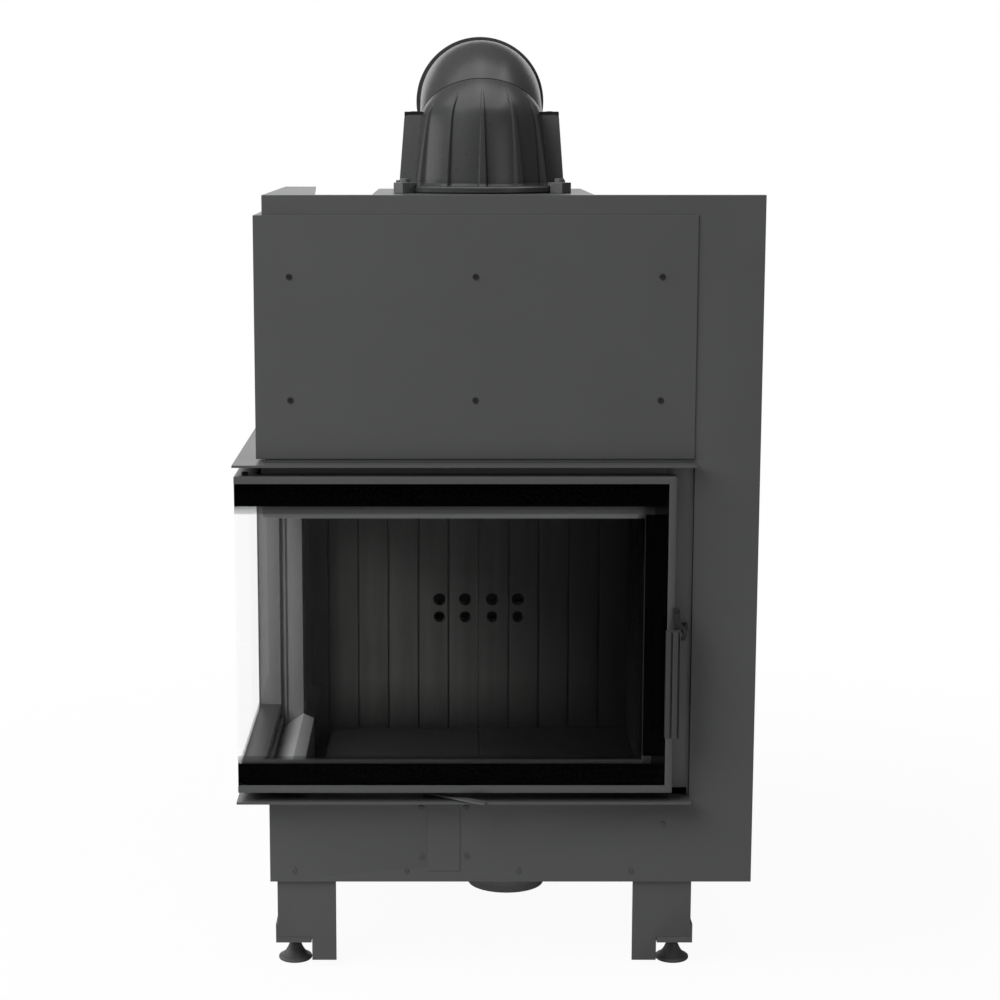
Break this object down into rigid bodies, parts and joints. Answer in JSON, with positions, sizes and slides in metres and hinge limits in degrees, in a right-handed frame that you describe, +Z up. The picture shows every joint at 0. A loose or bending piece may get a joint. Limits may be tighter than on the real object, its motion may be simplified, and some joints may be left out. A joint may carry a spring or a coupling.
{
  "type": "fireplace insert",
  "caption": "Steel wood-burning fireplace insert with an L-shaped corner-glass door, cast flue elbow, outside-air spigot and levelling legs.",
  "frame": {"origin": "centre of the object's footprint box, on the floor", "axes": "+Z up, +X to the right of someone facing the door, +Y from the front to the back"},
  "size_m": [0.753, 0.54, 1.371],
  "materials": {
    "casing": "matt graphite stove paint",
    "frame_steel": "matt graphite stove paint",
    "firebox_steel": "heat-dulled black",
    "lining": "dark pressed fire-resistant board",
    "cast_iron": "fine cast skin, satin paint",
    "fasteners": "blackened steel",
    "door_steel": "matt graphite stove paint",
    "glass": "clear ceramic glass with black print at the edges",
    "glass_print": "black sealing strip",
    "rope": "woven glass-fibre rope",
    "handle": "satin dark steel",
    "foot": "black moulded foot on a steel stem"
  },
  "bodies": {
    "insert": {"front_fascia": "casing", "left_side_panel": "casing", "right_side_panel": "casing", "rear_panel": "casing", "bottom_panel": "casing", "top_panel": "casing", "top_left_flange": "casing", "flue_plate": "casing", "smoke_collar": "firebox_steel", "upper_front_panel": "casing", "panel_screws": "fasteners", "service_cover": "casing", "casing_screws": "fasteners", "shelf": "casing", "sill": "casing", "opening_frame": "frame_steel", "hinge_post": "frame_steel", "side_sill": "frame_steel", "firebox_back": "firebox_steel", "firebox_right": "firebox_steel", "firebox_left": "firebox_steel", "firebox_front": "firebox_steel", "firebox_floor": "firebox_steel", "firebox_roof": "firebox_steel", "lining_back_left": "lining", "lining_back_right": "lining", "lining_right": "lining", "lining_floor_left": "lining", "lining_floor_right": "lining", "baffle_lower": "lining", "baffle_upper": "lining", "baffle_rests": "firebox_steel", "air_box": "firebox_steel", "intake_spigot": "casing", "flange_clamps": "cast_iron", "front_left_leg": "casing", "front_right_leg": "casing", "rear_left_leg": "casing", "rear_right_leg": "casing", "foot_brackets": "casing", "upper_hinge": "fasteners", "lower_hinge": "fasteners", "latch_keeper": "fasteners"},
    "lower_elbow": {"elbow_base": "cast_iron", "elbow_bolts": "fasteners"},
    "upper_elbow": {"elbow_outlet": "cast_iron"},
    "door": {"door_frame": "door_steel", "front_glass": "glass", "side_glass": "glass", "door_seal": "rope", "glass_clips": "glass_print", "handle_bracket": "fasteners"},
    "handle": {"handle_grip": "handle", "latch_hook": "fasteners"},
    "air_control": {"air_lever": "handle", "air_flap": "fasteners"},
    "foot_front_left": {"front_left_foot": "foot"},
    "foot_front_right": {"front_right_foot": "foot"},
    "foot_rear_left": {"rear_left_foot": "foot"},
    "foot_rear_right": {"rear_right_foot": "foot"}
  },
  "joints": [
    {"name": "door_swing", "type": "hinge", "parent": "insert", "child": "door", "pos_m": [-0.364, 0.14, 0.51], "axis": [0, 0, -1], "range_deg": [0, 90]},
    {"name": "handle_turn", "type": "hinge", "parent": "door", "child": "handle", "pos_m": [0.2577, -0.25, 0.544], "axis": [0, 1, 0], "range_deg": [0, 20]},
    {"name": "air_lever_swivel", "type": "hinge", "parent": "insert", "child": "air_control", "pos_m": [-0.1005, -0.2015, 0.2665], "axis": [0, 0, 1], "range_deg": [-90, 0]},
    {"name": "elbow_turn", "type": "hinge", "parent": "insert", "child": "lower_elbow", "pos_m": [-0.019, 0.04, 1.145], "axis": [0, 0, 1], "range_deg": [-180, 180]},
    {"name": "elbow_tilt", "type": "hinge", "parent": "lower_elbow", "child": "upper_elbow", "pos_m": [-0.019, 0.07456, 1.23644], "axis": [0, 0.7071, 0.7071], "range_deg": [0, 180]},
    {"name": "front_left_foot_travel", "type": "slide", "parent": "insert", "child": "foot_front_left", "axis": [0, 0, -1], "range_m": [0, 0.03]},
    {"name": "front_right_foot_travel", "type": "slide", "parent": "insert", "child": "foot_front_right", "axis": [0, 0, -1], "range_m": [0, 0.03]},
    {"name": "rear_left_foot_travel", "type": "slide", "parent": "insert", "child": "foot_rear_left", "axis": [0, 0, -1], "range_m": [0, 0.03]},
    {"name": "rear_right_foot_travel", "type": "slide", "parent": "insert", "child": "foot_rear_right", "axis": [0, 0, -1], "range_m": [0, 0.03]}
  ]
}
